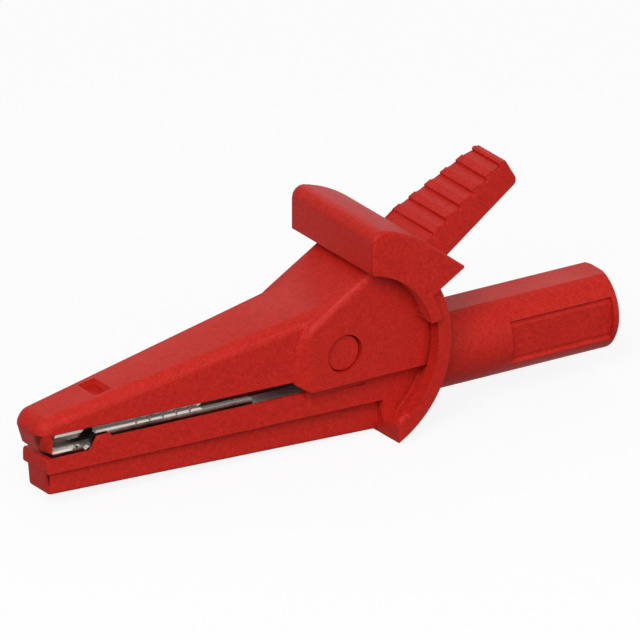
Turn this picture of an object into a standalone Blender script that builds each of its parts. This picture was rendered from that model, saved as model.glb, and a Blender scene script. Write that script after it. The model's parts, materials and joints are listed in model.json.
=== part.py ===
# Insulated crocodile clip with a 4 mm safety socket, modelled closed.
# Sizes are in millimetres times mm, so Blender holds metres. +X runs from the jaws to the socket,
# +Y is the hinge axis and +Z the way the upper jaw opens. Shapes are drawn round the hinge.
import math

import bmesh
import bpy
from mathutils import Vector

mm = 0.001

# Hinge
open_angle = math.radians(26)
axle_radius = 1.5 * mm
cap_radius = 2.4 * mm
cap_recess = 0.5 * mm
cap_flange = 0.7 * mm
run_gap = 0.15 * mm
seat_gap = 0.3 * mm
wing_gap = 0.2 * mm

# Widths, all measured from the middle plane
ear_inner = 3.8 * mm
ear_wall = 1.2 * mm
cheek_wall = 1.2 * mm
guard_half = 8.85 * mm
hood_skin = 0.5 * mm
guard_lip = 1.75 * mm

# Lever: cheeks and nose
cheek_front = -5.0 * mm
cheek_blend = 2.3 * mm
cheek_bottom = -4.27 * mm
cheek_rear_radius = 13.0 * mm
cheek_corner = 7.0 * mm
cheek_round = 1.0 * mm
nose_front = -43.3 * mm
nose_front_half = 3.28 * mm
nose_taper = 0.0557
nose_top_front = -1.05 * mm
nose_slope = 0.179
nose_bottom = -2.77 * mm
nose_tip_radius = 1.85 * mm
nose_tip_drop = 1.55 * mm
nose_round = 1.5 * mm
nose_lip_bottom = -5.2 * mm
nose_lip_length = 2.3 * mm
nose_lip_slope = 0.8 * mm
nose_lip_front_half = 1.95 * mm
nose_lip_rear_half = 2.5 * mm
nose_lip_round = 0.3 * mm
ramp_height = 7.73 * mm
ramp_slope = 0.60
shell_wall = 1.4 * mm
window_x = -33.05 * mm
window_length = 2.45 * mm
window_half = 2.05 * mm

# Lever: hood
hood_wall = 2.45 * mm
hood_front = 2.16 * mm
hood_low_edge = 11.4 * mm
hood_floor_inner = 11.3 * mm
hood_floor_wall = 0.95 * mm
hood_lap = 0.6 * mm
hood_rear_angle = math.radians(51.3)
hood_rear_slope = math.radians(-38.0)
hood_round = 1.5 * mm
hood_edge = 0.5 * mm
hood_stop_lift = 0.4 * mm
tongue_end = math.radians(11)

# Lever: thumb grip
grip_angle = math.radians(30.8)
grip_drop = 0.63 * mm
grip_thickness = 3.8 * mm
grip_relief = 0.4 * mm
grip_end = 32.3 * mm
grip_end_half = 3.04 * mm
grip_taper = 0.12
grip_root = 9.0 * mm
rib_count = 6
rib_pitch = 2.51 * mm
rib_setback = 1.1 * mm
rib_height = 0.3 * mm
rib_length = 1.15 * mm
groove_width = 0.4 * mm
groove_depth = 0.45 * mm

# Body: lower jaw trough
jaw_front = -41.9 * mm
band_front_half = 2.85 * mm
band_taper = 0.0464
band_top = -4.95 * mm
band_bottom = -8.25 * mm
front_top = -6.24 * mm
bump_height = 0.5 * mm
bump_start = -34.6 * mm
bump_length = 2.0 * mm
keel_front = -41.7 * mm
keel_front_slope = 0.35 * mm
keel_front_half = 2.35 * mm
keel_taper = 0.028
keel_front_bottom = -11.3 * mm
keel_slope = -0.028
keel_round = 0.45 * mm
trough_floor = -7.9 * mm
trough_wall = 0.5 * mm
trough_end_wall = 1.0 * mm
ear_radius = 4.8 * mm

# Body: guard
guard_outer = 14.5 * mm
guard_inner = 12.46 * mm
guard_groove = 13.3 * mm
guard_tail = 6.6 * mm
guard_top = math.radians(34)

# Body: barrel and socket
barrel_radius = 5.5 * mm
barrel_flat = 5.06 * mm
barrel_drop = 4.94 * mm
barrel_end = 42.0 * mm
socket_radius = 4.25 * mm
socket_depth = 23.5 * mm
recess_start = 25.8 * mm
recess_end = 41.05 * mm
recess_half = 2.85 * mm
recess_depth = 0.5 * mm

# Contacts
sheet = 0.8 * mm
upper_sheet = 0.6 * mm
tooth_line = -4.0 * mm
jaw_nest = 0.4 * mm
jaw_step = 0.32 * mm
tip_line = -5.6 * mm
tip_slack = 0.7 * mm
tip_length = 4.1 * mm
tooth_pitch = 1.93 * mm
tooth_count = 5
tooth_first = -28.6 * mm
tooth_size = 0.45 * mm
jaw_rear = -12 * mm
sleeve_radius = 2.6 * mm
sleeve_bore = 2.03 * mm
sleeve_recess = 0.6 * mm
bore_depth = 24.0 * mm
tail_half = 2.2 * mm
tail_x = 10.4 * mm
screw_radius = 1.15 * mm
screw_head = 1.55 * mm

# Spring
wire_radius = 0.45 * mm
coil_turns = 4
coil_pitch = 1.1 * mm
coil_radius = 2.95 * mm
leg_low = 5.5 * mm
leg_low_angle = math.radians(-52)
leg_high = 10.2 * mm
leg_high_angle = math.radians(13.5)

# Sizes that follow from those above
ear_outer = ear_inner + ear_wall
cheek_inner = ear_outer + seat_gap
cheek_outer = cheek_inner + cheek_wall
hood_half = guard_half + wing_gap + hood_skin
wing_inner = guard_half - guard_lip
hood_floor_outer = hood_floor_inner + hood_floor_wall
pocket_outer = guard_outer + wing_gap
hood_radius = pocket_outer + hood_wall + 0.05 * mm
rib_last = grip_end - rib_setback
pocket_end = guard_top + open_angle + math.radians(3)
barrel_z = -barrel_drop
guard_saddle = barrel_z + barrel_flat
jaw_gap = trough_wall + seat_gap
upper_inset = sheet + seat_gap
keel_low = keel_front_bottom + keel_slope * (guard_tail - keel_front)
guard_low = -math.sqrt(guard_outer**2 - guard_tail**2)
lowest = min(keel_low, guard_low, barrel_z - barrel_flat)
hinge_place = Vector((-(nose_front + barrel_end) / 2, 0, -lowest))


def clear_scene():
    for obj in list(bpy.data.objects):
        bpy.data.objects.remove(obj, do_unlink=True)


def make_material(name, color, roughness, metallic=0.0):
    material = bpy.data.materials.new(name)
    material.use_nodes = True
    shader = material.node_tree.nodes["Principled BSDF"]
    shader.inputs["Base Color"].default_value = (*color, 1)
    shader.inputs["Roughness"].default_value = roughness
    shader.inputs["Metallic"].default_value = metallic
    material.diffuse_color = (*color, 1)
    return material


def add_object(name, bm, material=None):
    """An object on the hinge, from a bmesh drawn round the hinge. Without a material it is a helper."""
    bmesh.ops.recalc_face_normals(bm, faces=bm.faces)
    mesh = bpy.data.meshes.new(name)
    bm.to_mesh(mesh)
    bm.free()
    return place(bpy.data.objects.new(name, mesh), material)


def place(obj, material):
    bpy.context.scene.collection.objects.link(obj)
    obj.parent = hinge
    if material:
        obj.data.materials.append(material)
    else:
        obj.hide_render = True
        obj.display_type = "WIRE"
    return obj


def smooth(obj, angle=35):
    obj.data.shade_smooth()
    obj.data.set_sharp_from_angle(angle=math.radians(angle))


def boolean(target, other, operation):
    modifier = target.modifiers.new(f"{operation} {other.name}", "BOOLEAN")
    modifier.operation = operation
    modifier.solver = "EXACT"
    modifier.object = other


def cut(target, cutter):
    boolean(target, cutter, "DIFFERENCE")


def join(target, other):
    boolean(target, other, "UNION")


def arc(radius, start, end, count, centre=(0.0, 0.0)):
    """Points along an arc in the XZ plane, angles from +X towards +Z."""
    step = (end - start) / count
    return [
        (centre[0] + radius * math.cos(start + i * step), centre[1] + radius * math.sin(start + i * step))
        for i in range(count + 1)
    ]


def rounded(points, radii, count=4):
    """The outline with an arc of the given radius at each corner that has one."""
    result = []
    total = len(points)
    for i, point in enumerate(points):
        radius = radii.get(i, 0)
        if not radius:
            result.append(point)
            continue
        here = Vector(point)
        before = (Vector(points[i - 1]) - here).normalized()
        after = (Vector(points[(i + 1) % total]) - here).normalized()
        half = before.angle(after) / 2
        reach = radius / math.tan(half)
        centre = here + (before + after).normalized() * (radius / math.sin(half))
        first = here + before * reach - centre
        last = here + after * reach - centre
        turn = math.atan2(first.x * last.y - first.y * last.x, first.dot(last))
        for k in range(count + 1):
            angle = math.atan2(first.y, first.x) + turn * k / count
            result.append((centre.x + radius * math.cos(angle), centre.y + radius * math.sin(angle)))
    return result


def prism(outline, half, low=None):
    """A solid from an XZ outline. half is its half-width, a number or a function of x; with low, it
    lies between low and half instead of on both sides of the middle plane."""
    bm = bmesh.new()
    width = half if callable(half) else lambda x: half
    near = [bm.verts.new((x, -width(x) if low is None else low, z)) for x, z in outline]
    far = [bm.verts.new((x, width(x), z)) for x, z in outline]
    bm.faces.new(near)
    bm.faces.new(far[::-1])
    for i in range(len(outline)):
        j = (i + 1) % len(outline)
        bm.faces.new((near[i], far[i], far[j], near[j]))
    bmesh.ops.recalc_face_normals(bm, faces=bm.faces)
    return bm


def turned(profile, centre_z=0.0, axis="X", segments=64):
    """A solid of revolution from (place along the axis, radius) points, closed on itself or on the axis."""
    bm = bmesh.new()
    rings = []
    for along, radius in profile:
        ring = []
        for i in range(segments if radius else 1):
            angle = 2 * math.pi * i / segments
            side, up = radius * math.cos(angle), centre_z + radius * math.sin(angle)
            ring.append(bm.verts.new((along, side, up) if axis == "X" else (side, along, up)))
        rings.append(ring)
    total = len(rings)
    closed = all(radius for _, radius in profile)
    for k in range(total if closed else total - 1):
        a, b = rings[k], rings[(k + 1) % total]
        for i in range(segments):
            j = (i + 1) % segments
            corners = [a[i % len(a)], a[j % len(a)], b[j % len(b)], b[i % len(b)]]
            bm.faces.new(list(dict.fromkeys(corners)))
    bmesh.ops.recalc_face_normals(bm, faces=bm.faces)
    return bm


def bevel_edges(bm, chosen, radius, segments=3):
    edges = [edge for edge in bm.edges if chosen(edge)]
    bmesh.ops.bevel(
        bm, geom=edges, offset=radius, offset_type="OFFSET", segments=segments, profile=0.5,
        affect="EDGES", clamp_overlap=True,
    )


def middle(edge):
    return (edge.verts[0].co + edge.verts[1].co) / 2


def along_y(edge):
    return abs((edge.verts[0].co - edge.verts[1].co).normalized().y) > 0.9


def tilted(s, n):
    """A point of the grip, s along it and n square to it, in XZ."""
    return (
        s * math.cos(grip_angle) - n * math.sin(grip_angle),
        s * math.sin(grip_angle) + n * math.cos(grip_angle),
    )


def nose_half(x):
    return nose_front_half + nose_taper * (x - nose_front)


def nose_top(x):
    return nose_top_front + nose_slope * (x - nose_front)


def band_half(x):
    return band_front_half + band_taper * (x - jaw_front)


def contact_half(x):
    return band_half(x) - jaw_gap


def keel_bottom(x):
    return keel_front_bottom + keel_slope * (x - keel_front)


break_x = (ramp_height - nose_top(0)) / (nose_slope - ramp_slope)
neck_end = 2.0 * mm


def loft(sections):
    """A solid through closed rings of points that all have the same count."""
    bm = bmesh.new()
    rings = [[bm.verts.new(point) for point in section] for section in sections]
    bm.faces.new(rings[0])
    bm.faces.new(rings[-1][::-1])
    for a, b in zip(rings, rings[1:]):
        for i in range(len(a)):
            j = (i + 1) % len(a)
            bm.faces.new((a[i], b[i], b[j], a[j]))
    return bm


def nose_section(x, half, top):
    """The nose cut square to X: flat below, its two upper corners rounded."""
    corner = min(nose_round, top - nose_bottom - 0.1 * mm)
    centre = (half - corner, top - corner)
    right = [(half, nose_bottom)] + arc(corner, 0, math.pi / 2, 5, centre)
    return [(x, y, z) for y, z in right] + [(x, -y, z) for y, z in reversed(right)]


def nose_block():
    sections = []
    for i in range(7):
        turn = math.pi / 2 * i / 6
        x = nose_front + nose_tip_radius * (1 - math.cos(turn))
        back = 1 - math.sin(turn)
        sections.append(nose_section(x, nose_half(x) - nose_tip_radius * back, nose_top(x) - nose_tip_drop * back))
    neck_top = ramp_height + ramp_slope * neck_end - 0.2 * mm
    sections.append(nose_section(break_x, nose_half(break_x), nose_top(break_x)))
    sections.append(nose_section(neck_end, nose_half(neck_end), neck_top))
    return add_object("nose", loft(sections))


def lip_block():
    """The tapered lip under the nose's tip, which closes over the contacts."""
    rear = nose_front + nose_lip_length
    inset = 0.03 * mm
    top_front = nose_front + inset
    levels = [
        (nose_bottom + 0.08 * mm, top_front, nose_front_half - inset, nose_half(rear) - inset, nose_tip_radius),
        (nose_lip_bottom + 0.2 * mm, nose_front + nose_lip_slope - 0.1 * mm, nose_lip_front_half, nose_lip_rear_half,
         nose_lip_round),
        (nose_lip_bottom, nose_front + nose_lip_slope + 0.1 * mm, nose_lip_front_half - 0.2 * mm,
         nose_lip_rear_half - 0.2 * mm, nose_lip_round),
    ]
    sections = []
    for z, front, front_half, rear_half, radius in levels:
        plan = [(rear, rear_half), (front, front_half), (front, -front_half), (rear, -rear_half)]
        sections.append([(x, y, z) for x, y in rounded(plan, {1: radius, 2: radius}, 6)])
    return add_object("lip", loft(sections))


def core_block():
    rear = math.sqrt(cheek_rear_radius**2 - cheek_bottom**2)
    start = math.asin(cheek_bottom / cheek_rear_radius)
    ramp_join = 4.5 * mm
    front = cheek_front - cheek_blend
    outline = [(front, nose_bottom + 0.05 * mm), (cheek_front, cheek_bottom), (rear, cheek_bottom)]
    outline += arc(cheek_rear_radius, start, grip_angle, 14)[1:]
    outline += [
        tilted(hood_radius - 1 * mm, 0),
        *arc(hood_radius - 1.3 * mm, math.radians(45), math.radians(65), 3),
        (ramp_join, hood_radius - 3 * mm),
        (ramp_join, ramp_height + ramp_slope * ramp_join),
        (front, ramp_height + ramp_slope * front),
    ]
    outline = rounded(outline, {len(outline) - 1: cheek_corner}, 8)
    bm = prism(outline, cheek_outer)

    def rim(edge):
        x, y, z = middle(edge)
        return not along_y(edge) and x < ramp_join + 0.1 * mm and z > nose_bottom + 1 * mm

    bevel_edges(bm, rim, cheek_round, 4)
    bmesh.ops.bisect_plane(
        bm, geom=bm.verts[:] + bm.edges[:] + bm.faces[:], dist=0.001 * mm,
        plane_co=(cheek_front, 0, 0), plane_no=(1, 0, 0),
    )
    slope = (cheek_outer - nose_half(front) + 0.1 * mm) / cheek_blend
    for vert in bm.verts:
        inward = slope * max(0, cheek_front - vert.co.x)
        vert.co.y -= math.copysign(inward, vert.co.y)
    return add_object("lever_shell", bm, plastic)


def hood_block():
    top_start = math.acos(hood_front / hood_radius)
    rear_start = (hood_radius * math.cos(hood_rear_angle), hood_radius * math.sin(hood_rear_angle))
    slope = math.tan(hood_rear_slope)
    stop = math.tan(grip_angle)
    stop_offset = (hood_stop_lift - grip_drop) / math.cos(grip_angle)
    corner_x = (rear_start[1] - slope * rear_start[0] - stop_offset) / (stop - slope)
    lap = hood_floor_outer + hood_lap
    lap_angle = grip_angle + math.asin((hood_stop_lift - grip_drop) / lap)
    front_angle = math.acos(hood_front / hood_floor_inner)
    outline = [(hood_front, hood_low_edge), (hood_front, hood_radius * math.sin(top_start))]
    outline += arc(hood_radius, top_start, hood_rear_angle, 10)[2:]
    outline += [(corner_x, stop_offset + stop * corner_x)]
    outline += arc(lap, lap_angle, tongue_end + math.radians(1.5), 5)
    outline += arc(hood_floor_inner, tongue_end + math.radians(2.5), front_angle, 16)
    outline = rounded(outline, {1: hood_round}, 4)
    bm = prism(outline, hood_half)

    def skin_edge(edge):
        x, y, z = middle(edge)
        outside = math.hypot(x, z) > hood_radius - 1.2 * mm or x < hood_front + 0.2 * mm
        on_side = abs(abs(y) - hood_half) < 0.01 * mm and not along_y(edge)
        above_stop = z > stop_offset + stop * x + 0.3 * mm
        return on_side and outside and above_stop

    bevel_edges(bm, skin_edge, hood_edge, 3)
    return add_object("hood", bm)


def rib_top():
    """The grip's upper side from its end back to the hood: a groove before each ridge."""
    top = grip_thickness - grip_drop
    points = []
    for s in (rib_last - i * rib_pitch for i in range(rib_count)):
        ridge_end = min(s + rib_length, grip_end - 0.5 * mm)
        points += [
            (ridge_end + 0.25 * mm, top),
            (ridge_end, top + rib_height),
            (s + 0.1 * mm, top + rib_height),
            (s, top - groove_depth),
            (s - groove_width * 0.6, top - groove_depth),
            (s - groove_width, top),
        ]
    return points


def grip_block():
    outline = [
        (grip_root, -grip_drop),
        (grip_end, -grip_drop),
        (grip_end, grip_thickness - grip_drop),
        *rib_top(),
        (grip_root, grip_thickness - grip_drop),
    ]
    outline = rounded(outline, {1: 0.9 * mm, 2: 0.2 * mm}, 3)

    def half(s):
        return grip_end_half + grip_taper * (grip_end - s)

    bm = prism(outline, half)

    def end_corner(edge):
        s, y, n = middle(edge)
        return not along_y(edge) and abs(s - grip_end) < 0.05 * mm

    bevel_edges(bm, end_corner, 0.7 * mm, 3)
    for vert in bm.verts:
        vert.co.x, vert.co.z = tilted(vert.co.x, vert.co.z)
    return add_object("grip", bm)


def pocket_cutter(side):
    """Room in the hood for one wing of the guard, through the whole opening angle."""
    start = tongue_end - math.radians(6)
    outline = arc(pocket_outer, start, pocket_end, 14)
    outline += arc(hood_floor_outer, pocket_end, start, 14)
    inner, outer = cheek_outer + 0.02 * mm, hood_half - hood_skin
    low, high = (inner, outer) if side > 0 else (-outer, -inner)
    return add_object("pocket_cutter", prism(outline, high, low))


def lever_cavity():
    """Space between the cheeks for the ears and the spring."""
    roof = ramp_height - shell_wall * math.hypot(1, ramp_slope)
    bore = roof * math.cos(math.atan(ramp_slope))
    line = math.atan(ramp_slope)
    outline = [(cheek_front - 1.2 * mm, cheek_bottom - 1 * mm), (15 * mm, cheek_bottom - 1 * mm)]
    outline += [tilted(14.5 * mm, grip_relief - grip_drop)]
    outline += arc(bore, grip_angle * 2, line + math.pi / 2, 8)
    outline += [(cheek_front - 1.2 * mm, roof + ramp_slope * (cheek_front - 1.2 * mm))]
    return add_object("lever_cavity", prism(outline, cheek_inner))


def nose_cavity():
    front = nose_front + nose_lip_length
    rear = cheek_front
    outline = [
        (front, nose_lip_bottom - 1 * mm),
        (rear, nose_lip_bottom - 1 * mm),
        (rear, nose_top(rear) - shell_wall),
        (front + 0.2 * mm, nose_top(front) - shell_wall),
    ]
    return add_object("nose_cavity", prism(outline, contact_half))


def window_cutter():
    bm = bmesh.new()
    bmesh.ops.create_cube(bm, size=1)
    size = Vector((window_length, 2 * window_half, 4 * mm))
    for vert in bm.verts:
        vert.co = vert.co * size + Vector((window_x, 0, nose_top(window_x)))
    return add_object("window_cutter", bm)


def cross_hole(name, radius, half):
    return add_object(name, turned([(-half, 0), (-half, radius), (half, radius), (half, 0)], axis="Y", segments=48))


def lever_shell():
    lever = core_block()
    join(lever, nose_block())
    join(lever, lip_block())
    join(lever, hood_block())
    join(lever, grip_block())
    cut(lever, lever_cavity())
    cut(lever, nose_cavity())
    cut(lever, pocket_cutter(-1))
    cut(lever, pocket_cutter(1))
    cut(lever, window_cutter())
    cut(lever, cross_hole("cheek_hole", cap_radius + run_gap, hood_half))
    smooth(lever)
    return lever


def guard_block():
    outline = arc(guard_outer, -math.acos(guard_tail / guard_outer), guard_top, 28)
    outline += arc(guard_inner, guard_top, -math.acos(guard_tail / guard_inner), 28)
    bm = prism(outline, guard_half)

    def outer_edge(edge):
        x, y, z = middle(edge)
        on_side = abs(abs(y) - guard_half) < 0.01 * mm and not along_y(edge)
        return on_side and math.hypot(x, z) > guard_outer - 0.1 * mm

    bevel_edges(bm, outer_edge, 0.3 * mm, 2)
    return add_object("body_shell", bm, plastic)


def groove_cutter():
    """Room for the cheeks inside the guard."""
    outline = arc(guard_groove, 0, 2 * math.pi, 72)[:-1]
    return add_object("groove_cutter", prism(outline, wing_inner))


def saddle_cutter():
    """The guard's middle is low, so that the grip can come down between its wings."""
    outline = [(9 * mm, guard_saddle), (16.5 * mm, guard_saddle), (16.5 * mm, 12 * mm), (9 * mm, 12 * mm)]
    return add_object("saddle_cutter", prism(outline, wing_inner))


def barrel_block():
    front = 11.5 * mm
    edge = 0.35 * mm
    profile = [
        (front, 0), (front, barrel_radius), (barrel_end - edge, barrel_radius),
        (barrel_end, barrel_radius - edge), (barrel_end, 0),
    ]
    barrel = add_object("barrel", turned(profile, barrel_z, segments=72))
    for side in (-1, 1):
        outline = [
            (front - 1 * mm, barrel_z + side * barrel_flat), (barrel_end + 1 * mm, barrel_z + side * barrel_flat),
            (barrel_end + 1 * mm, barrel_z + side * 8 * mm), (front - 1 * mm, barrel_z + side * 8 * mm),
        ]
        cut(barrel, add_object("flat_cutter", prism(outline, 7 * mm)))
    return barrel


def trough_block():
    bump_end = bump_start + bump_length
    outline = [
        (jaw_front, band_bottom), (8 * mm, band_bottom), (8 * mm, band_top),
        (bump_end, band_top), (bump_end - 0.1 * mm, band_top + bump_height), (bump_start, band_top + bump_height),
        (bump_start - 1 * mm, front_top), (jaw_front, front_top),
    ]
    outline = rounded(outline, {0: 0.4 * mm, 6: 0.4 * mm, 7: 0.4 * mm}, 3)
    band = prism(outline, band_half)

    def front_corner(edge):
        x, y, z = middle(edge)
        return not along_y(edge) and x < jaw_front + 0.05 * mm

    bevel_edges(band, front_corner, 0.5 * mm, 3)
    return add_object("band", band)


def keel_block():
    rear = guard_tail + 1.5 * mm
    outline = [
        (keel_front + keel_front_slope, keel_bottom(keel_front)), (rear, keel_bottom(rear)),
        (rear, band_bottom + 0.6 * mm), (keel_front, band_bottom + 0.6 * mm),
    ]
    outline = rounded(outline, {0: 0.5 * mm}, 3)
    keel = prism(outline, lambda x: keel_front_half + keel_taper * (x - keel_front))

    def lower_edge(edge):
        x, y, z = middle(edge)
        on_bottom = z < keel_bottom(x) + 0.6 * mm
        at_front = x < keel_front + keel_front_slope + 0.05 * mm
        return not along_y(edge) and (on_bottom or at_front) and x < rear - 0.05 * mm

    bevel_edges(keel, lower_edge, keel_round, 3)
    return add_object("keel", keel)


def ear_block():
    """Both ears as one block, before the space between them is cut."""
    outline = [(-ear_radius, band_top - 0.5 * mm), (9.5 * mm, band_top - 0.5 * mm), (9.5 * mm, band_top + 1.2 * mm)]
    outline += arc(ear_radius, math.radians(20), math.pi, 16)
    return add_object("ears", prism(outline, ear_outer))


def rear_block():
    """Joins the trough to the guard and the barrel, between the cheeks."""
    low = -math.sqrt((guard_outer - 0.5 * mm) ** 2 - guard_tail**2)
    start = math.atan2(low, guard_tail)
    outline = [(guard_tail - 2 * mm, band_bottom + 0.3 * mm), (guard_tail, low)]
    outline += arc(guard_outer - 0.5 * mm, start, 0, 14)[1:]
    outline[-1] = (guard_outer - 0.5 * mm, guard_saddle - 0.1 * mm)
    outline += [(12.2 * mm, guard_saddle - 0.1 * mm), (12.2 * mm, band_top + 0.5 * mm), (5 * mm, band_top)]
    return add_object("rear_block", prism(outline, ear_outer - 0.02 * mm))


def inner_space():
    """Between the ears and along the body's floor, open at the top."""
    outline = [
        (-9 * mm, trough_floor), (11.5 * mm, trough_floor), (11.5 * mm, 7 * mm), (-9 * mm, 7 * mm),
    ]
    return add_object("inner_space", prism(outline, ear_inner))


def trough_cutter():
    front = jaw_front + trough_end_wall
    outline = [(front, trough_floor), (-8 * mm, trough_floor), (-8 * mm, 0), (front, 0)]
    return add_object("trough_cutter", prism(outline, lambda x: contact_half(x) + seat_gap))


def socket_cutter():
    floor = barrel_end - socket_depth
    profile = [
        (9 * mm, 0), (9 * mm, sleeve_radius + seat_gap), (floor, sleeve_radius + seat_gap),
        (floor, socket_radius), (barrel_end - 0.5 * mm, socket_radius),
        (barrel_end + 0.1 * mm, socket_radius + 0.4 * mm), (barrel_end + 1 * mm, socket_radius + 0.4 * mm),
        (barrel_end + 1 * mm, 0),
    ]
    return add_object("socket_cutter", turned(profile, barrel_z, segments=48))


def recess_cutter():
    """A shallow bare panel sunk in the near side of the barrel, its floor round like the barrel."""
    half = math.asin(recess_half / barrel_radius)
    inner, outer = barrel_radius - recess_depth, barrel_radius + 1 * mm
    bm = bmesh.new()
    rings = []
    for x in (recess_start, recess_end):
        points = arc(inner, math.pi - half, math.pi + half, 10) + arc(outer, math.pi + half, math.pi - half, 10)
        rings.append([bm.verts.new((x, y, barrel_z + z)) for y, z in points])
    bm.faces.new(rings[0])
    bm.faces.new(rings[1][::-1])
    for i in range(len(rings[0])):
        j = (i + 1) % len(rings[0])
        bm.faces.new((rings[0][i], rings[1][i], rings[1][j], rings[0][j]))
    return add_object("recess_cutter", bm)


def body_shell():
    body = guard_block()
    join(body, barrel_block())
    cut(body, groove_cutter())
    cut(body, saddle_cutter())
    join(body, rear_block())
    join(body, trough_block())
    join(body, keel_block())
    join(body, ear_block())
    cut(body, inner_space())
    cut(body, trough_cutter())
    cut(body, cross_hole("ear_hole", axle_radius + run_gap, ear_outer + 1 * mm))
    cut(body, socket_cutter())
    cut(body, recess_cutter())
    smooth(body)
    return body


def notch(x, z, width, depth):
    return [(x - width / 2, z), (x, z - depth), (x + width / 2, z)]


def lower_jaw():
    low = trough_floor + seat_gap
    front = jaw_front + trough_end_wall + seat_gap
    step_z = tooth_line - jaw_step
    tip_end = front + tip_length
    step_x = tooth_first + (tooth_count - 0.25) * tooth_pitch
    top = [(front, tip_line)]
    for x in (tip_end - 1.5 * mm, tip_end - 0.6 * mm):
        top += notch(x, tip_line, 0.35 * mm, 0.3 * mm)
    top += [(tip_end, tip_line), (tip_end + 0.6 * mm, tip_line - 0.7 * mm), (tip_end + 1.2 * mm, tip_line - 0.35 * mm)]
    top += [(tip_end + 2.2 * mm, tooth_line)]
    for i in range(tooth_count):
        top += notch(tooth_first + i * tooth_pitch, tooth_line, tooth_size, tooth_size)
    top += [(step_x, tooth_line), (step_x + 0.3 * mm, step_z), (jaw_rear, step_z), (jaw_rear + 0.6 * mm, low + sheet)]
    outline = [(front, low)] + top + [(jaw_rear + 0.6 * mm, low)]
    jaw = add_object("lower_jaw", prism(outline, contact_half), steel)
    inside = [(front + sheet, low + sheet), (0, low + sheet), (0, 0), (front + sheet, 0)]
    cut(jaw, add_object("jaw_space", prism(inside, lambda x: contact_half(x) - sheet)))
    tail = [
        (-14 * mm, low), (tail_x + sheet, low), (tail_x + sheet, barrel_z + tail_half + 0.3 * mm),
        (tail_x, barrel_z + tail_half + 0.3 * mm), (tail_x, low + sheet), (-14 * mm, low + sheet),
    ]
    join(jaw, add_object("jaw_tail", prism(tail, tail_half)))
    hole = turned(
        [(tail_x - 1 * mm, 0), (tail_x - 1 * mm, screw_radius + seat_gap), (tail_x + 2 * mm, screw_radius + seat_gap),
         (tail_x + 2 * mm, 0)], barrel_z, segments=24)
    cut(jaw, add_object("tail_hole", hole))
    return jaw


def upper_jaw():
    front = nose_front + nose_lip_length + seat_gap
    rear = jaw_rear
    line = tooth_line - jaw_nest
    tip_z = tip_line + tip_slack
    tip_end = front + tip_length + 0.3 * mm
    roof = shell_wall + seat_gap

    def top(x):
        return nose_top(x) - roof

    lower = [(front, tip_z), (tip_end, tip_z), (tip_end + 1.3 * mm, line + 0.9 * mm), (tip_end + 2.5 * mm, line)]
    for i in range(tooth_count):
        x = tooth_first + (i + 0.5) * tooth_pitch
        lower += notch(x, line, tooth_size, -tooth_size)
    lower += [(rear - 7 * mm, line), (rear, top(rear) - upper_sheet)]
    outline = lower + [(rear, top(rear)), (front + 0.3 * mm, top(front + 0.3 * mm)), (front, top(front) - 0.3 * mm)]
    jaw = add_object("upper_jaw", prism(outline, lambda x: contact_half(x) - upper_inset), steel)
    inside = [
        (front + upper_sheet, top(front) - upper_sheet), (front + upper_sheet, -8 * mm), (0, -8 * mm),
        (0, top(0) - upper_sheet),
    ]
    cut(jaw, add_object("upper_space", prism(inside, lambda x: contact_half(x) - upper_inset - upper_sheet)))
    bm = bmesh.new()
    bmesh.ops.create_cube(bm, size=1)
    size = Vector((window_length + 0.6 * mm, 2 * (contact_half(window_x) - upper_inset - upper_sheet), 3 * mm))
    for vert in bm.verts:
        vert.co = vert.co * size + Vector((window_x, 0, top(window_x)))
    cut(jaw, add_object("latch_hole", bm))
    return jaw


def socket_sleeve():
    front = tail_x + sheet + seat_gap
    rear = barrel_end - sleeve_recess
    profile = [
        (front, 0), (front, sleeve_radius - 0.3 * mm), (front + 0.3 * mm, sleeve_radius),
        (rear - 0.3 * mm, sleeve_radius), (rear, sleeve_radius - 0.2 * mm), (rear, sleeve_bore + 0.15 * mm),
        (rear - 0.3 * mm, sleeve_bore), (rear - bore_depth, sleeve_bore), (rear - bore_depth - 1 * mm, 0),
    ]
    sleeve = add_object("socket_sleeve", turned(profile, barrel_z, segments=48), brass)
    hole = [
        (front - 1 * mm, 0), (front - 1 * mm, screw_radius + 0.05 * mm),
        (front + 3.4 * mm, screw_radius + 0.05 * mm), (front + 3.4 * mm, 0),
    ]
    cut(sleeve, add_object("thread_hole", turned(hole, barrel_z, segments=24)))
    smooth(sleeve)
    return sleeve


def socket_screw():
    head = 1.2 * mm
    under = tail_x - seat_gap
    end = tail_x + sheet + seat_gap + 3.1 * mm
    profile = [
        (under - head, 0), (under - head, screw_head - 0.3 * mm), (under - head + 0.3 * mm, screw_head),
        (under, screw_head), (under, screw_radius - 0.15 * mm), (end, screw_radius - 0.15 * mm), (end, 0),
    ]
    screw = add_object("socket_screw", turned(profile, barrel_z, segments=24), steel)
    bm = bmesh.new()
    bmesh.ops.create_cube(bm, size=1)
    for vert in bm.verts:
        vert.co = vert.co * Vector((1 * mm, 5 * mm, 0.5 * mm)) + Vector((under - head, 0, barrel_z))
    cut(screw, add_object("slot_cutter", bm))
    smooth(screw)
    return screw


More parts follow.
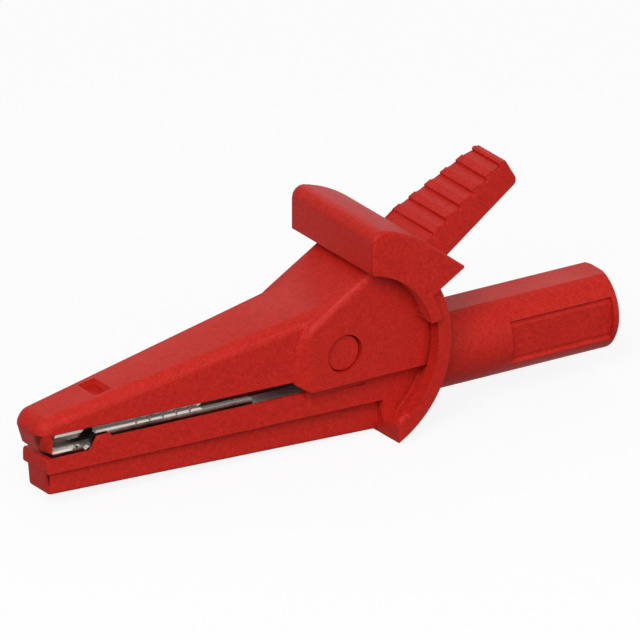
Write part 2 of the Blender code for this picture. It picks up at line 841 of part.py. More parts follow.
def pivot_pieces():
    cap_outer = cheek_outer - cap_recess
    cap_inner = ear_outer + 0.2 * mm
    reach = cap_outer - cap_flange
    edge = 0.2 * mm
    axle = turned(
        [(-reach, 0), (-reach, axle_radius - edge), (-reach + edge, axle_radius), (reach - edge, axle_radius),
         (reach, axle_radius - edge), (reach, 0)], axis="Y", segments=32)
    smooth(add_object("pivot_axle", axle, steel))
    for side, name in ((-1, "pivot_cap_near"), (1, "pivot_cap_far")):
        bore = axle_radius + run_gap
        profile = [
            (side * cap_outer, 0), (side * cap_outer, cap_radius - 0.15 * mm),
            (side * (cap_outer - 0.15 * mm), cap_radius), (side * cap_inner, cap_radius),
            (side * cap_inner, bore), (side * (reach + 0.1 * mm), bore), (side * (reach + 0.1 * mm), 0),
        ]
        smooth(add_object(name, turned(profile, axis="Y", segments=48), plastic))
    inner = axle_radius + run_gap
    outer = coil_radius - wire_radius - 0.2 * mm
    half = ear_inner - seat_gap
    bush = turned([(-half, inner), (-half, outer), (half, outer), (half, inner)], axis="Y", segments=32)
    smooth(add_object("spring_bush", bush, nylon))


def torsion_spring():
    """Wire from the leg on the jaw's tail, round the bush, to the leg under the grip."""
    width = coil_turns * coil_pitch
    points = []
    start = leg_low_angle - math.pi / 2
    end = leg_high_angle + math.pi / 2 - 2 * math.pi * coil_turns
    steps = 18 * coil_turns
    low_start = Vector((math.cos(start), math.sin(start))) * coil_radius
    along_low = Vector((math.cos(leg_low_angle), math.sin(leg_low_angle)))
    for reach in (leg_low, leg_low / 2):
        spot = low_start + along_low * reach
        points.append((spot.x, -width / 2, spot.y))
    for i in range(steps + 1):
        angle = start + (end - start) * i / steps
        points.append((coil_radius * math.cos(angle), -width / 2 + width * i / steps, coil_radius * math.sin(angle)))
    high_start = Vector((math.cos(end), math.sin(end))) * coil_radius
    along_high = Vector((math.cos(leg_high_angle), math.sin(leg_high_angle)))
    for reach in (leg_high / 2, leg_high):
        spot = high_start + along_high * reach
        points.append((spot.x, width / 2, spot.y))
    curve = bpy.data.curves.new("torsion_spring", "CURVE")
    curve.dimensions = "3D"
    curve.bevel_depth = wire_radius
    curve.bevel_resolution = 2
    curve.use_fill_caps = True
    spline = curve.splines.new("POLY")
    spline.points.add(len(points) - 1)
    for spot, point in zip(spline.points, points):
        spot.co = (*point, 1)
    return place(bpy.data.objects.new("torsion_spring", curve), steel)


clear_scene()
hinge = bpy.data.objects.new("hinge", None)
hinge.location = hinge_place
bpy.context.scene.collection.objects.link(hinge)
plastic = make_material("red nylon", (0.60, 0.035, 0.022), 0.5)
nylon = make_material("natural nylon", (0.75, 0.72, 0.62), 0.5)
steel = make_material("nickel plated steel", (0.62, 0.61, 0.58), 0.3, 1.0)
brass = make_material("nickel plated brass", (0.68, 0.66, 0.60), 0.28, 1.0)
lever_shell()
body_shell()
lower_jaw()
upper_jaw()
socket_sleeve()
socket_screw()
pivot_pieces()
torsion_spring()
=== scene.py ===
import json
import math

import bmesh
import bpy
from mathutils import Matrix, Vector

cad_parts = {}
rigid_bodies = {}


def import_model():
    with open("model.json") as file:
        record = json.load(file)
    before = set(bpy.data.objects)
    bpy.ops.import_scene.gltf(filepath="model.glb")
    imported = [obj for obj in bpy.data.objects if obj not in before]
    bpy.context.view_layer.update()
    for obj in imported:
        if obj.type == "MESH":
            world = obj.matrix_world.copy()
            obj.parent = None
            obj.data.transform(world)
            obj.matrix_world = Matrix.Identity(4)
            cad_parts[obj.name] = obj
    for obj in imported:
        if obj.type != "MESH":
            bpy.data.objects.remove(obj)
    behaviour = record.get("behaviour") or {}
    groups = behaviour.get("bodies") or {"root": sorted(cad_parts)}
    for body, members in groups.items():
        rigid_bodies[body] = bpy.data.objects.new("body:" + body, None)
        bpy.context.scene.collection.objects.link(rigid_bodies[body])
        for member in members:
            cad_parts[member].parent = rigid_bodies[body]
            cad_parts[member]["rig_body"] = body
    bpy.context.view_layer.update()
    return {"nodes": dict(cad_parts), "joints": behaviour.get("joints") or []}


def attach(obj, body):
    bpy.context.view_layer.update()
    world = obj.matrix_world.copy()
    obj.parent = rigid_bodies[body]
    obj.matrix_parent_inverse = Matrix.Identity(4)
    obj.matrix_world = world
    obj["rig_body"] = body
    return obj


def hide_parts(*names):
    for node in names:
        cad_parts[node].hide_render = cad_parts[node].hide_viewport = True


# An insulated crocodile clip, closed, on a white table: red nylon mouldings over nickel plated jaws
mm = 0.001

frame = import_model()
hinge = Vector(frame["joints"][0]["pos_m"])
print("frame:", len(frame["nodes"]), "solids")


def linearColour(hexValue):
    channels = [int(hexValue[i:i + 2], 16) / 255 for i in (1, 3, 5)]
    return [c / 12.92 if c <= 0.04045 else ((c + 0.055) / 1.055) ** 2.4 for c in channels] + [1.0]


def newMaterial(name):
    material = bpy.data.materials.new(name)
    material.use_nodes = True
    return material


def addNode(material, kind, values=None, links=None, **settings):
    # values go on the node's inputs by name or number, links are (from node, its output, input)
    node = material.node_tree.nodes.new(kind)
    for key, value in settings.items():
        setattr(node, key, value)
    for key, value in (values or {}).items():
        node.inputs[key].default_value = value
    for source, output, target in links or []:
        material.node_tree.links.new(source.outputs[output], node.inputs[target])
    return node


def setSurface(material, values, links):
    shader = material.node_tree.nodes["Principled BSDF"]
    for key, value in values.items():
        shader.inputs[key].default_value = value
    for source, output, target in links:
        material.node_tree.links.new(source.outputs[output], shader.inputs[target])


def setStops(ramp, places, colours):
    elements = ramp.color_ramp.elements
    while len(elements) < len(places):
        elements.new(0.5)
    for element, place, colour in zip(elements, places, colours):
        element.position = place
        element.color = linearColour(colour)


def spread(start, end, values=(0.0, 1.0)):
    return {"From Min": start, "From Max": end, "To Min": values[0], "To Max": values[1]}


# A noise pattern's values mostly lie between these
noiseSpan = (0.3, 0.7)

# Red nylon, injection moulded in a spark eroded mould: a fine even grain that scatters light,
# so faces look flat matte with a soft sheen and no sharp reflection
nylonLook = {
    "redDeep": "#9F1811",
    "red": "#B82118",
    "redLight": "#CA2B20",
    "stops": (0.30, 0.50, 0.70),  # where the mottling reaches each red
    "roughness": (0.46, 0.60),
    "grain": 0.26,       # mm, drawn about twice the real size so that it shows
    "grainShare": 0.55,  # of the colour pattern, the rest is speckle
    "grainDepth": 0.012,  # mm
    "grainStrength": 0.55,
    "speckle": 0.7,      # mm, faint mottling of the pigment
    "flow": 14.0,        # mm, how far apart the sheen varies
    "ior": 1.53,
    "specular": 0.14,
}


def mouldedNylon(name, look):
    material = newMaterial(name)
    place = addNode(material, "ShaderNodeTexCoord")
    grain = addNode(
        material, "ShaderNodeTexNoise",
        {"Scale": 1 / (look["grain"] * mm), "Detail": 2.0, "Roughness": 0.6},
        [(place, "Object", "Vector")])
    mottle = addNode(
        material, "ShaderNodeTexNoise",
        {"Scale": 1 / (look["speckle"] * mm), "Detail": 4.0, "Roughness": 0.7},
        [(place, "Object", "Vector")])
    flow = addNode(
        material, "ShaderNodeTexNoise",
        {"Scale": 1 / (look["flow"] * mm), "Detail": 2.0, "Roughness": 0.5},
        [(place, "Object", "Vector")])
    blend = addNode(
        material, "ShaderNodeMix", {0: look["grainShare"]},
        [(mottle, "Fac", 2), (grain, "Fac", 3)], data_type="FLOAT")
    colour = addNode(material, "ShaderNodeValToRGB", links=[(blend, 0, "Fac")])
    setStops(colour, look["stops"], (look["redDeep"], look["red"], look["redLight"]))
    sheen = addNode(
        material, "ShaderNodeMapRange", spread(*noiseSpan, look["roughness"]), [(flow, "Fac", "Value")])
    bump = addNode(
        material, "ShaderNodeBump",
        {"Strength": look["grainStrength"], "Distance": look["grainDepth"] * mm},
        [(grain, "Fac", "Height")])
    setSurface(
        material, {"IOR": look["ior"], "Specular IOR Level": look["specular"]},
        [(colour, "Color", "Base Color"), (sheen, "Result", "Roughness"), (bump, "Normal", "Normal")])
    return material


# Nickel plated spring steel, stamped: fine draw lines along the strip, which mirror what is round them. The
# faces' colours are darkened and warmed as painted shade and a painted reflection of the red moulding, and
# level faces and bands along the biting edges get a painted highlight, pale and slightly rough
nickelLook = {
    # the faces' two colours are darkened and warmed, painted shade and a painted reflection of the red
    # moulding; the patches between them are random tone
    "dull": "#574D46",
    "bright": "#8C8178",
    "stops": (0.35, 0.6),
    "roughness": (0.16, 0.30),
    "line": 0.12,       # mm between draw lines
    "lineLength": 9.0,  # mm
    "lineDepth": 0.004,  # mm
    "lineStrength": 0.25,
    "cloud": 2.5,       # mm between the brighter and duller patches
    # colour of the painted highlight on level faces and along the biting edges
    "cut": "#F4EFEA",
    "cutRoughness": 0.38,
    "cutMetallic": 0.35,  # the painted highlight is less metallic, so it scatters light
    "level": (0.6, 0.8),  # how level a face is before it gets the painted highlight
    "strip": (8.55, 8.95),  # mm up from the table, a band along the jaws' biting edges that gets the painted highlight
    "tipStrip": (6.95, 7.40),
    "tipEnd": (-37.2, -37.0),  # mm along, where the low tip of the jaw ends
    "fade": 0.05,       # mm over which a painted highlight band fades at its rims
}


def stampedNickel(name, look):
    material = newMaterial(name)
    place = addNode(material, "ShaderNodeTexCoord")
    across = 1 / (look["line"] * mm)
    stretch = addNode(
        material, "ShaderNodeMapping", {"Scale": (1 / (look["lineLength"] * mm), across, across)},
        [(place, "Object", "Vector")])
    lines = addNode(
        material, "ShaderNodeTexNoise", {"Scale": 1.0, "Detail": 3.0, "Roughness": 0.6},
        [(stretch, "Vector", "Vector")])
    cloud = addNode(
        material, "ShaderNodeTexNoise", {"Scale": 1 / (look["cloud"] * mm), "Detail": 3.0},
        [(place, "Object", "Vector")])
    face = addNode(material, "ShaderNodeValToRGB", links=[(cloud, "Fac", "Fac")])
    setStops(face, look["stops"], (look["dull"], look["bright"]))
    polish = addNode(
        material, "ShaderNodeMapRange", spread(*noiseSpan, look["roughness"]), [(lines, "Fac", "Value")])
    # Painted highlight: faces that face up or down in the part's own frame, and bands at given heights
    # along the biting edges, get a pale, rougher, less metallic colour
    facing = addNode(material, "ShaderNodeSeparateXYZ", links=[(place, "Normal", "Vector")])
    upright = addNode(material, "ShaderNodeMath", links=[(facing, "Z", 0)], operation="ABSOLUTE")
    top = addNode(material, "ShaderNodeMapRange", spread(*look["level"]), [(upright, 0, "Value")])
    spot = addNode(material, "ShaderNodeSeparateXYZ", links=[(place, "Object", "Vector")])

    def step(output, start, end, values=(0.0, 1.0)):
        return addNode(
            material, "ShaderNodeMapRange", spread(start * mm, end * mm, values), [(spot, output, "Value")])

    def band(low, high):
        rise = step("Z", low, low + look["fade"])
        fall = step("Z", high - look["fade"], high, (1.0, 0.0))
        return addNode(
            material, "ShaderNodeMath", links=[(rise, 0, 0), (fall, 0, 1)], operation="MULTIPLY")

    strip = band(*look["strip"])
    tipStrip = band(*look["tipStrip"])
    tip = step("X", *look["tipEnd"], (1.0, 0.0))
    tipBandHighlight = addNode(
        material, "ShaderNodeMath", links=[(tipStrip, 0, 0), (tip, 0, 1)], operation="MULTIPLY")
    edgeBandHighlight = addNode(
        material, "ShaderNodeMath", links=[(strip, 0, 0), (tipBandHighlight, 0, 1)], operation="MAXIMUM")
    # the painted highlight mask, from the level faces and the edge bands
    cut = addNode(material, "ShaderNodeMath", links=[(top, 0, 0), (edgeBandHighlight, 0, 1)], operation="MAXIMUM")
    colour = addNode(
        material, "ShaderNodeMix", {7: linearColour(look["cut"])},
        [(cut, 0, 0), (face, "Color", 6)], data_type="RGBA")
    rough = addNode(
        material, "ShaderNodeMix", {3: look["cutRoughness"]}, [(cut, 0, 0), (polish, "Result", 2)],
        data_type="FLOAT")
    metal = addNode(
        material, "ShaderNodeMix", {2: 1.0, 3: look["cutMetallic"]}, [(cut, 0, 0)], data_type="FLOAT")
    bump = addNode(
        material, "ShaderNodeBump",
        {"Strength": look["lineStrength"], "Distance": look["lineDepth"] * mm},
        [(lines, "Fac", "Height")])
    setSurface(
        material, {},
        [(colour, 2, "Base Color"), (rough, 0, "Roughness"), (metal, 0, "Metallic"),
         (bump, "Normal", "Normal")])
    return material


# Nickel plated brass, turned on a lathe: fine rings round the bore
turnedLook = {
    "dull": "#B5AD98",
    "bright": "#DDD7C6",
    "stops": (0.3, 0.65),
    "roughness": (0.14, 0.32),
    "ring": 0.18,       # mm between tool marks
    "ringLength": 6.0,  # mm round the sleeve before a mark changes
    "ringDepth": 0.005,  # mm
    "ringStrength": 0.3,
}


def turnedNickel(name, look):
    material = newMaterial(name)
    place = addNode(material, "ShaderNodeTexCoord")
    around = 1 / (look["ringLength"] * mm)
    stretch = addNode(
        material, "ShaderNodeMapping", {"Scale": (1 / (look["ring"] * mm), around, around)},
        [(place, "Object", "Vector")])
    rings = addNode(
        material, "ShaderNodeTexNoise", {"Scale": 1.0, "Detail": 2.0}, [(stretch, "Vector", "Vector")])
    colour = addNode(material, "ShaderNodeValToRGB", links=[(rings, "Fac", "Fac")])
    setStops(colour, look["stops"], (look["dull"], look["bright"]))
    polish = addNode(
        material, "ShaderNodeMapRange", spread(*noiseSpan, look["roughness"]), [(rings, "Fac", "Value")])
    bump = addNode(
        material, "ShaderNodeBump",
        {"Strength": look["ringStrength"], "Distance": look["ringDepth"] * mm},
        [(rings, "Fac", "Height")])
    setSurface(
        material, {"Metallic": 1.0},
        [(colour, "Color", "Base Color"), (polish, "Result", "Roughness"), (bump, "Normal", "Normal")])
    return material


# Zinc plated steel, barrel plated: a cool grey with small cloudy spangles
zincLook = {
    "dull": "#94989E",
    "bright": "#C4C7CB",
    "stops": (0.25, 0.65),
    "roughness": (0.26, 0.45),
    "spangle": 0.6,     # mm across
    "cloud": 0.25,      # mm
    "cloudShare": 0.5,
    "cloudSpan": (0.2, 0.7),
    "cloudDepth": 0.006,  # mm
    "cloudStrength": 0.3,
}


def platedZinc(name, look):
    material = newMaterial(name)
    place = addNode(material, "ShaderNodeTexCoord")
    spangle = addNode(
        material, "ShaderNodeTexVoronoi", {"Scale": 1 / (look["spangle"] * mm)},
        [(place, "Object", "Vector")])
    cloud = addNode(
        material, "ShaderNodeTexNoise", {"Scale": 1 / (look["cloud"] * mm), "Detail": 3.0},
        [(place, "Object", "Vector")])
    blend = addNode(
        material, "ShaderNodeMix", {0: look["cloudShare"]},
        [(spangle, "Distance", 2), (cloud, "Fac", 3)], data_type="FLOAT")
    colour = addNode(material, "ShaderNodeValToRGB", links=[(blend, 0, "Fac")])
    setStops(colour, look["stops"], (look["dull"], look["bright"]))
    polish = addNode(
        material, "ShaderNodeMapRange", spread(*look["cloudSpan"], look["roughness"]),
        [(blend, 0, "Value")])
    bump = addNode(
        material, "ShaderNodeBump",
        {"Strength": look["cloudStrength"], "Distance": look["cloudDepth"] * mm},
        [(cloud, "Fac", "Height")])
    setSurface(
        material, {"Metallic": 1.0},
        [(colour, "Color", "Base Color"), (polish, "Result", "Roughness"), (bump, "Normal", "Normal")])
    return material


# Natural nylon, unpigmented: milky, light passes a little way in
naturalLook = {
    "shade": "#C9C0A8",
    "milk": "#DDD6C2",
    "stops": (0.3, 0.7),
    "cloud": 1.5,       # mm
    "roughness": 0.42,
    "ior": 1.53,
    "milkiness": 0.2,
    "lightDepth": 0.6,  # mm
}


def naturalNylon(name, look):
    material = newMaterial(name)
    place = addNode(material, "ShaderNodeTexCoord")
    cloud = addNode(
        material, "ShaderNodeTexNoise", {"Scale": 1 / (look["cloud"] * mm), "Detail": 3.0},
        [(place, "Object", "Vector")])
    colour = addNode(material, "ShaderNodeValToRGB", links=[(cloud, "Fac", "Fac")])
    setStops(colour, look["stops"], (look["shade"], look["milk"]))
    setSurface(
        material,
        {"Roughness": look["roughness"], "IOR": look["ior"], "Subsurface Weight": look["milkiness"],
         "Subsurface Scale": look["lightDepth"] * mm},
        [(colour, "Color", "Base Color")])
    return material


redNylon = mouldedNylon("mouldedNylonRed", nylonLook)
nickelSteel = stampedNickel("stampedNickelSteel", nickelLook)
nickelBrass = turnedNickel("turnedNickelBrass", turnedLook)
zincSteel = platedZinc("zincPlatedSteel", zincLook)
milkyNylon = naturalNylon("naturalNylon", naturalLook)
print("materials made")

mergeWithin = 0.002 * mm
flatWithin = math.radians(0.6)


def applyModifier(piece, kind, **settings):
    modifier = piece.modifiers.new(kind.title(), kind)
    for key, value in settings.items():
        setattr(modifier, key, value)
    bpy.ops.object.modifier_apply(modifier=modifier.name)


def deselectAll():
    bpy.ops.object.select_all(action="DESELECT")


def makeActive(piece):
    deselectAll()
    piece.select_set(True)
    bpy.context.view_layer.objects.active = piece


def mergeFlats(piece):
    makeActive(piece)
    bpy.ops.object.mode_set(mode="EDIT")
    bpy.ops.mesh.select_all(action="SELECT")
    bpy.ops.mesh.remove_doubles(threshold=mergeWithin)
    bpy.ops.mesh.dissolve_limited(angle_limit=flatWithin, delimit=set())
    bpy.ops.object.mode_set(mode="OBJECT")


def mouldingCopy(nodeName, pieceName, material):
    node = frame["nodes"][nodeName]
    piece = node.copy()
    piece.data = node.data.copy()
    for key in list(piece.keys()):
        del piece[key]
    piece.parent = None
    piece.name = pieceName
    bpy.context.scene.collection.objects.link(piece)
    piece.data.materials.clear()
    piece.data.materials.append(material)
    mergeFlats(piece)
    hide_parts(nodeName)
    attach(piece, node["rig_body"])
    return piece


def arcPoints(radius, start, end, count):
    turns = [math.radians(start + (end - start) * i / count) for i in range(count + 1)]
    return [(radius * math.cos(turn), radius * math.sin(turn)) for turn in turns]


def addSlab(outline, low, high):
    # A plate in mm round the hinge: its outline is in (x, z), and low and high are its two sides,
    # each a y or a function of x and z
    deselectAll()
    count = len(outline)
    bpy.ops.mesh.primitive_circle_add(vertices=count, fill_type="NGON")
    slab = bpy.context.object
    bpy.ops.object.mode_set(mode="EDIT")
    bpy.ops.mesh.extrude_region_move(TRANSFORM_OT_translate={"value": (0, 0, 1)})
    bpy.ops.object.mode_set(mode="OBJECT")
    for vertex in slab.data.vertices:
        turn = math.atan2(vertex.co.y, vertex.co.x) % math.tau
        x, z = outline[int(turn / math.tau * count + 0.01) % count]
        side = low if vertex.co.z < 0.5 else high
        vertex.co = hinge + Vector((x, side(x, z) if callable(side) else side, z)) * mm
    bpy.ops.object.mode_set(mode="EDIT")
    bpy.ops.mesh.select_all(action="SELECT")
    bpy.ops.mesh.normals_make_consistent(inside=False)
    bpy.ops.object.mode_set(mode="OBJECT")
    return slab


def withSlab(piece, operation, slab):
    makeActive(piece)
    applyModifier(piece, "BOOLEAN", operation=operation, object=slab, solver="EXACT")
    bpy.data.objects.remove(slab, do_unlink=True)


def inBox(spot, box):
    low, high = box
    return all(low[i] < spot[i] < high[i] for i in range(3))


def roomBeside(edge):
    # How far the narrower of the two faces reaches from the edge
    first, second = (vertex.co for vertex in edge.verts)
    along = (second - first).normalized()
    reach = []
    for face in edge.link_faces:
        away = [vertex.co - first for vertex in face.verts]
        reach.append(max((spot - along * spot.dot(along)).length for spot in away))
    return min(reach)


def weighEdges(piece, look):
    # Only long, plainly sharp edges with room beside them are rounded: short ones lie where
    # two rounds meet
    shape = bmesh.new()
    shape.from_mesh(piece.data)
    weight = shape.edges.layers.float.new("bevel_weight_edge")
    chosen = 0
    for edge in shape.edges:
        plain = len(edge.link_faces) == 2 and edge.calc_length() > look["shortest"] * mm
        if not plain or edge.calc_face_angle() < math.radians(look["sharp"]):
            continue
        if roomBeside(edge) < look["room"] * mm:
            continue
        spots = [(vertex.co - hinge) / mm for vertex in edge.verts]
        if any(all(inBox(spot, crisp) for spot in spots) for crisp in look["crisp"]):
            continue
        edge[weight] = 1.0
        chosen += 1
    shape.to_mesh(piece.data)
    shape.free()
    return chosen


def softenEdges(piece, look):
    # A moulding's edges are never knife sharp: each one gets a small radius
    mergeFlats(piece)
    print(piece.name, "edges rounded:", weighEdges(piece, look))
    bpy.ops.object.shade_smooth_by_angle(angle=math.radians(look["smooth"]))
    applyModifier(
        piece, "BEVEL", width=look["edge"] * mm, segments=look["segments"], limit_method="WEIGHT",
        use_clamp_overlap=False)
    applyModifier(piece, "WEIGHTED_NORMAL", mode="FACE_AREA", keep_sharp=True, weight=80)


def evenShading(body, look):
    # Upright and level faces shade flat, and the barrel's facets as the round they stand for
    mesh = body.data
    axis = hinge + Vector((0, 0, look["barrelZ"])) * mm
    normals = [Vector(corner.vector) for corner in mesh.corner_normals]
    for face in mesh.polygons:
        corners = [mesh.vertices[i].co for i in face.vertices]
        spots = [(corner - axis) / mm for corner in corners]
        onRound = all(abs(math.hypot(spot.y, spot.z) - look["barrelRadius"]) < 0.05 for spot in spots)
        beyond = min(spot.x for spot in spots) > look["barrelStart"]
        flat = max(abs(face.normal.y), abs(face.normal.z)) > 0.9995
        plugged = all(inBox((corner - hinge) / mm, look["plugBox"]) for corner in corners)
        if onRound and beyond and abs(face.normal.x) < 0.1:
            for corner, spot in zip(face.loop_indices, spots):
                normals[corner] = Vector((0, spot.y, spot.z)).normalized()
        elif flat or plugged:
            for corner in face.loop_indices:
                normals[corner] = face.normal.copy()
    mesh.normals_split_custom_set(normals)


# Body: lengths in mm, places and boxes in mm from the hinge, turns in degrees
bodyLook = {
    "edge": 0.12,          # radius of the edges
    "room": 0.264,         # the least face width beside a rounded edge
    "segments": 3,
    "sharp": 50,
    "shortest": 1.0,
    "smooth": 38,
    "crisp": [
        ((25, -6, -9), (41.5, -3, -1)),          # the panel
        ((3.9, -5.4, -13), (8.4, 5.4, -4.9)),    # the band's end
    ],
    "barrelStart": 11,
    "barrelZ": -4.94,
    "barrelRadius": 5.5,
    "panel": ((25.95, -7.65), (40.9, -2.25)),    # opposite corners in x, z
    "panelSides": (-8, -4.6),
    "plugRadii": (13.7, 12.45),
    "plugBox": ((6.4, -7.4, -12.6), (9.7, 7.4, -8.2)),
    "grooveEnd": -50,
    "guardLip": 7.3,
    "tail": 6.61,
    "bandEnd": (4.005, 8.3),
    "bandHeight": (-8.4, -4.8),
    "bandSides": (4.975, 5.27),
    "frontStart": 4.4,
    "frontHeight": (-13.3, -8.25),
    "frontSide": 5.4,
    "keelFront": -41.7,
    "keelHalf": 2.35,
    "keelTaper": 0.028,
}


def closeGuardTail(body, look):
    # The groove inside the guard ends before the tail
    outer, inner = look["plugRadii"]
    outerTail, innerTail = (-math.degrees(math.acos(look["tail"] / radius)) for radius in (outer, inner))
    plug = arcPoints(outer, outerTail, look["grooveEnd"], 5)
    plug += arcPoints(inner, look["grooveEnd"], innerTail, 4)
    withSlab(body, "UNION", addSlab(plug, -look["guardLip"], look["guardLip"]))


def squareBandEnd(body, look):
    # The band runs flush into the block that carries the guard, whose front stands upright under it
    start, rear = look["bandEnd"]
    low, high = look["bandHeight"]
    flush = [(start, low), (rear, low), (rear, high), (start, high)]
    front, tail = look["frontStart"], look["tail"]
    bottom, top = look["frontHeight"]
    under = [(front, top), (front, bottom), (tail, bottom), (tail, top)]
    for way in (-1, 1):
        sides = sorted(way * side for side in look["bandSides"])
        withSlab(body, "DIFFERENCE", addSlab(flush, *sides))

        def keelSide(x, z):
            return way * (look["keelHalf"] + look["keelTaper"] * (x - look["keelFront"]))

        withSlab(body, "DIFFERENCE", addSlab(under, keelSide, way * look["frontSide"]))


def deepenPanel(body, look):
    (left, bottom), (right, top) = look["panel"]
    panel = [(left, bottom), (right, bottom), (right, top), (left, top)]
    withSlab(body, "DIFFERENCE", addSlab(panel, *look["panelSides"]))


body = mouldingCopy("body_shell", "bodyMoulding", redNylon)
closeGuardTail(body, bodyLook)
squareBandEnd(body, bodyLook)
deepenPanel(body, bodyLook)
softenEdges(body, bodyLook)
evenShading(body, bodyLook)
print("body moulding:", len(body.data.polygons), "faces")

# Lever: lengths in mm, places in mm from the hinge, along the grip or square to it for its ridges
leverLook = {
    "edge": 0.12,
    "room": 0.264,
    "segments": 2,
    "sharp": 50,
    "shortest": 1.0,
    "smooth": 38,
    "crisp": [((-34.6, -2.2, -2), (-31.5, 2.2, 1.5))],  # the latch pocket
    "noseTip": (-43.3, -1.05),  # where the nose's top begins, in x, z
    "noseSlope": 0.179,
    "pocket": (-34.6, -31.5),
    "pocketHalf": 2.15,
    "pocketDepth": 1.2,
    "pocketFloor": 0.33,
    "lipFront": -43.27,
    "lipRear": -41.3,
    "lipBottom": -5.2,
    "lipTop": -2.7,
    "lipLean": 1.1,
    "lipHalf": 3.2,
    "lipCorner": 1.7,
    "behindLip": ((-41.3, -2.77), (-40.5, -5.6)),  # opposite corners in x, z
    "behindHalf": 3.0,
    "gripTurn": 30.8,      # degrees
    "gripStart": 15.5,
    "gripEnd": 32.3,
    "gripTop": 3.17,
    "gripSink": 1.2,       # how deep the ridges' plate is set into the grip
    "gripEndHalf": 3.04,
    "gripTaper": 0.12,
    "sideInset": 0.01,
    "risers": [18.65, 21.16, 23.67, 26.18, 28.69],
    "riserFoot": 0.02,     # above the grip's top, where each ridge rises
    "riserRun": 0.06,
    "ridgeHeight": 0.45,
    "ridgeLength": 1.14,
    "ridgeBack": 0.3,      # above the grip's top, from where it slopes down to the next foot
    "backRun": 0.04,
    "pitch": 2.51,
    "endRun": 0.2,
}


def floorPocket(lever, look):
    # The latch pocket in the nose is not open below
    low, high = look["pocket"]
    tipX, tipZ = look["noseTip"]

    def floorTop(x):
        return tipZ + look["noseSlope"] * (x - tipX) - look["pocketDepth"]

    thickness = look["pocketFloor"]
    plate = [
        (low, floorTop(low)), (high, floorTop(high)),
        (high, floorTop(high) - thickness), (low, floorTop(low) - thickness)]
    withSlab(lever, "UNION", addSlab(plate, -look["pocketHalf"], look["pocketHalf"]))


def squareLip(lever, look):
    # The lip at the tip is a plain wall that leans back, with its two front corners well rounded
    (left, top), (right, bottom) = look["behindLip"]
    behind = [(left, top), (left, bottom), (right, bottom), (right, top)]
    withSlab(lever, "DIFFERENCE", addSlab(behind, -look["behindHalf"], look["behindHalf"]))
    front, rear = look["lipFront"], look["lipRear"]
    lip = addSlab(
        [(front, look["lipTop"]), (front + look["lipLean"], look["lipBottom"]),
         (rear, look["lipBottom"]), (rear, look["lipTop"])],
        -look["lipHalf"], look["lipHalf"])
    bpy.ops.object.mode_set(mode="EDIT")
    bpy.ops.mesh.select_all(action="DESELECT")
    bpy.ops.mesh.select_mode(type="EDGE")
    bpy.ops.object.mode_set(mode="OBJECT")
    for edge in lip.data.edges:
        first, second = ((lip.data.vertices[i].co - hinge) / mm for i in edge.vertices)
        edge.select = abs(first.z - second.z) > 1 and max(first.x, second.x) < rear - 0.5
    bpy.ops.object.mode_set(mode="EDIT")
    bpy.ops.mesh.bevel(offset=look["lipCorner"] * mm, segments=6, affect="EDGES")
    bpy.ops.object.mode_set(mode="OBJECT")
    withSlab(lever, "UNION", lip)


def slopeRidges(lever, look):
    # Saw teeth: each ridge rises steeply on the hood's side and slopes away to the foot of the next
    turn = math.radians(look["gripTurn"])
    top = look["gripTop"]
    sunk = top - look["gripSink"]
    foot = top + look["riserFoot"]
    crest = top + look["ridgeHeight"]
    corners = [(look["gripStart"], sunk), (look["gripStart"], top)]
    for riser in look["risers"]:
        back = riser + look["ridgeLength"]
        corners.append((riser, foot))
        corners.append((riser + look["riserRun"], crest))
        corners.append((back - look["backRun"], crest))
        corners.append((back, top + look["ridgeBack"]))
    last = look["risers"][-1] + look["pitch"]
    corners += [(last, foot), (last + look["endRun"], sunk)]
    outline = [
        (along * math.cos(turn) - rise * math.sin(turn), along * math.sin(turn) + rise * math.cos(turn))
        for along, rise in corners]

    def side(x, z):
        along = x * math.cos(turn) + z * math.sin(turn)
        return look["gripEndHalf"] + look["gripTaper"] * (look["gripEnd"] - along) - look["sideInset"]

    withSlab(lever, "UNION", addSlab(outline, lambda x, z: -side(x, z), side))


lever = mouldingCopy("lever_shell", "leverMoulding", redNylon)
floorPocket(lever, leverLook)
squareLip(lever, leverLook)
slopeRidges(lever, leverLook)
softenEdges(lever, leverLook)
print("lever moulding:", len(lever.data.polygons), "faces")

finishes = {
    "pivot_cap_near": redNylon,
    "pivot_cap_far": redNylon,
    "lower_jaw": nickelSteel,
    "upper_jaw": nickelSteel,
    "socket_sleeve": nickelBrass,
    "socket_screw": zincSteel,
    "pivot_axle": zincSteel,
    "spring_bush": milkyNylon,
    "torsion_spring": zincSteel,
}
for name, material in finishes.items():
    mesh = frame["nodes"][name].data
    mesh.materials.clear()
    mesh.materials.append(material)
print("finishes set:", len(finishes))

# The view is taken from far away, so that parallel edges stay parallel
view = {
    "towards": (-0.5011, -0.7756, 0.3837),
    "right": (0.8399, -0.5427, 0.0),
    "up": (0.2083, 0.3223, 0.9234),
    "offset": (0.3625, 2.1625),  # mm right and up from the hinge to the middle of the picture
    "across": 80.2,              # mm seen across the picture
    "lens": 1600.0,
    "sensor": 36.0,
    "farEnd": 20.0,              # metres, beyond the table
}


def addCamera(view):
    right, up, towards = (Vector(view[key]).normalized() for key in ("right", "up", "towards"))
    target = hinge + (right * view["offset"][0] + up * view["offset"][1]) * mm
    distance = view["across"] * mm * view["lens"] / view["sensor"]
    bpy.ops.object.camera_add(location=target + towards * distance)
    camera = bpy.context.object
    camera.rotation_euler = (-towards).to_track_quat("-Z", "Y").to_euler()
    camera.data.lens = view["lens"]
    camera.data.sensor_width = view["sensor"]
    camera.data.clip_end = view["farEnd"]
    bpy.context.scene.camera = camera


addCamera(view)

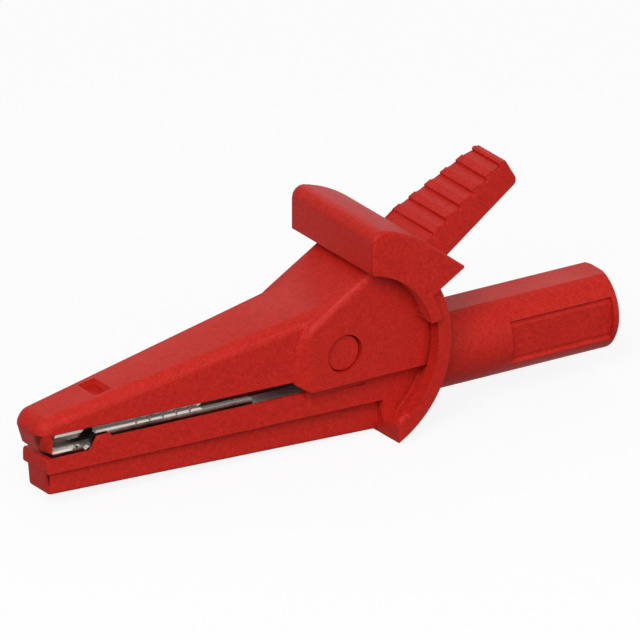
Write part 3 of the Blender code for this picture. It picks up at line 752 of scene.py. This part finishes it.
# Table and light, in metres
studio = {
    "tableHalf": 1.5,
    "tableTop": -0.0002,
    "tableSeen": "#F4F4F4",
    "tableBounce": "#707070",  # what it throws back up is less, so that undersides stay deep
    "whiteShare": 0.88,
    "world": 0.40,
    "lamps": [
        {"name": "keyLamp", "at": (-0.44, -0.42, 0.50), "size": 0.35, "power": 4.0},
        {"name": "fillLamp", "at": (0.05, -0.75, 0.30), "size": 0.5, "power": 1.85},
        {"name": "rimLamp", "at": (0.35, 0.55, 0.45), "size": 0.4, "power": 0.5},
    ],
}


def addLamp(lamp):
    bpy.ops.object.light_add(type="AREA", location=lamp["at"])
    light = bpy.context.object
    light.name = lamp["name"]
    light.data.size = lamp["size"]
    light.data.energy = lamp["power"]
    light.rotation_euler = (-(Vector(lamp["at"]) - hinge)).to_track_quat("-Z", "Y").to_euler()


def whiteForCamera(material, lit, share):
    # The lit surface with some plain white over it, which only the camera and mirrors see
    seen = addNode(material, "ShaderNodeLightPath")
    either = addNode(
        material, "ShaderNodeMath", links=[(seen, "Is Camera Ray", 0), (seen, "Is Glossy Ray", 1)],
        operation="MAXIMUM")
    anyOf = addNode(
        material, "ShaderNodeMath", links=[(either, 0, 0), (seen, "Is Transmission Ray", 1)],
        operation="MAXIMUM")
    amount = addNode(material, "ShaderNodeMath", {1: share}, [(anyOf, 0, 0)], operation="MULTIPLY")
    white = addNode(material, "ShaderNodeEmission", {"Color": (1, 1, 1, 1), "Strength": 1.0})
    return addNode(material, "ShaderNodeMixShader", links=[(amount, 0, 0), (lit, 0, 1), (white, 0, 2)])


def addTable(studio):
    bpy.ops.mesh.primitive_plane_add(size=2 * studio["tableHalf"], location=(0, 0, studio["tableTop"]))
    table = bpy.context.object
    table.name = "whiteTable"
    material = newMaterial("whitePaperTable")
    nodes = material.node_tree.nodes
    nodes.remove(nodes["Principled BSDF"])
    eye = addNode(material, "ShaderNodeLightPath")
    grey = addNode(
        material, "ShaderNodeMix",
        {6: linearColour(studio["tableBounce"]), 7: linearColour(studio["tableSeen"])},
        [(eye, "Is Camera Ray", 0)], data_type="RGBA")
    matte = addNode(material, "ShaderNodeBsdfDiffuse", links=[(grey, 2, "Color")])
    shown = whiteForCamera(material, matte, studio["whiteShare"])
    material.node_tree.links.new(shown.outputs[0], nodes["Material Output"].inputs["Surface"])
    table.data.materials.append(material)


def setWorld(studio):
    world = bpy.data.worlds.new("whiteRoom")
    world.use_nodes = True
    bpy.context.scene.world = world
    nodes = world.node_tree.nodes
    lit = nodes["Background"]
    lit.inputs["Color"].default_value = (1, 1, 1, 1)
    lit.inputs["Strength"].default_value = studio["world"]
    shown = whiteForCamera(world, lit, 1.0)
    world.node_tree.links.new(shown.outputs[0], nodes["World Output"].inputs["Surface"])


addTable(studio)
setWorld(studio)
for lamp in studio["lamps"]:
    addLamp(lamp)
bpy.context.scene.view_settings.view_transform = "Standard"
print("camera, table and lamps placed")
